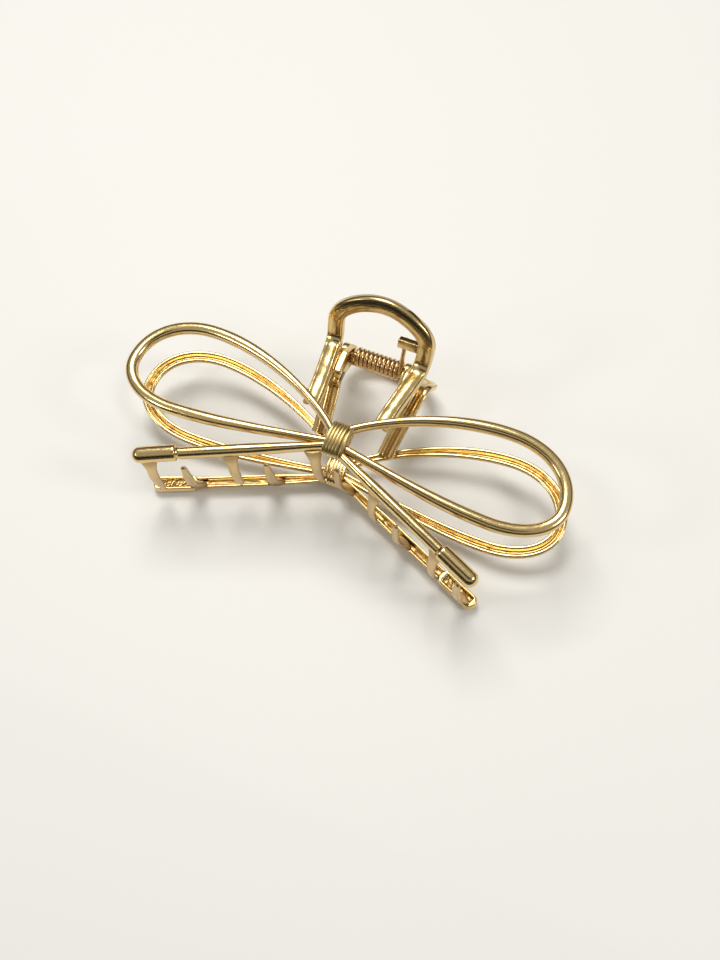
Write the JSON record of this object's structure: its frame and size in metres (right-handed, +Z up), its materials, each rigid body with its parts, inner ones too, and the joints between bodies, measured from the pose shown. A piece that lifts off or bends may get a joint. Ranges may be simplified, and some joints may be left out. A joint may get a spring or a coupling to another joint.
{
  "type": "claw clip",
  "caption": "Metal hair claw clip whose two jaws are shaped as a ribbon bow, with interleaving teeth, arched finger handles, a hinge pin and a torsion spring.",
  "frame": {"origin": "centre of the closed clip's footprint, on the surface that it lies on", "axes": "+X along the hinge pin, to the right of the front half; +Y from the tails towards the handles; +Z up, out of the front half"},
  "size_m": [0.1078, 0.0572, 0.0362],
  "materials": {
    "polished_gold": "polished gold-coloured plating over cast metal",
    "tooth_gold": "satin gold-coloured plating over cast metal",
    "pin_gold": "gold-coloured plating over steel pin",
    "spring_wire": "rose-gold-coloured plating over spring wire"
  },
  "bodies": {
    "back_jaw": {"back_handle": "polished_gold", "back_hinge_lugs": "polished_gold", "back_knot": "polished_gold", "back_left_cap": "polished_gold", "back_left_loop": "polished_gold", "back_left_tail": "polished_gold", "back_left_teeth": "tooth_gold", "back_right_cap": "polished_gold", "back_right_loop": "polished_gold", "back_right_tail": "polished_gold", "back_right_teeth": "tooth_gold", "back_spring_tab": "polished_gold", "hinge_pin": "pin_gold", "torsion_spring": "spring_wire"},
    "front_jaw": {"front_handle": "polished_gold", "front_hinge_lugs": "polished_gold", "front_knot": "polished_gold", "front_left_cap": "polished_gold", "front_left_loop": "polished_gold", "front_left_tail": "polished_gold", "front_left_teeth": "tooth_gold", "front_right_cap": "polished_gold", "front_right_loop": "polished_gold", "front_right_tail": "polished_gold", "front_right_teeth": "tooth_gold", "front_spring_tab": "polished_gold", "spring_front_arm": "spring_wire"}
  },
  "joints": [
    {"name": "jaw_hinge", "type": "hinge", "parent": "back_jaw", "child": "front_jaw", "pos_m": [0, 0.01787, 0.01719], "axis": [-1, 0, 0], "range_deg": [0, 80], "stiffness_Nm_per_rad": 0.12, "springref_deg": -68.75}
  ]
}
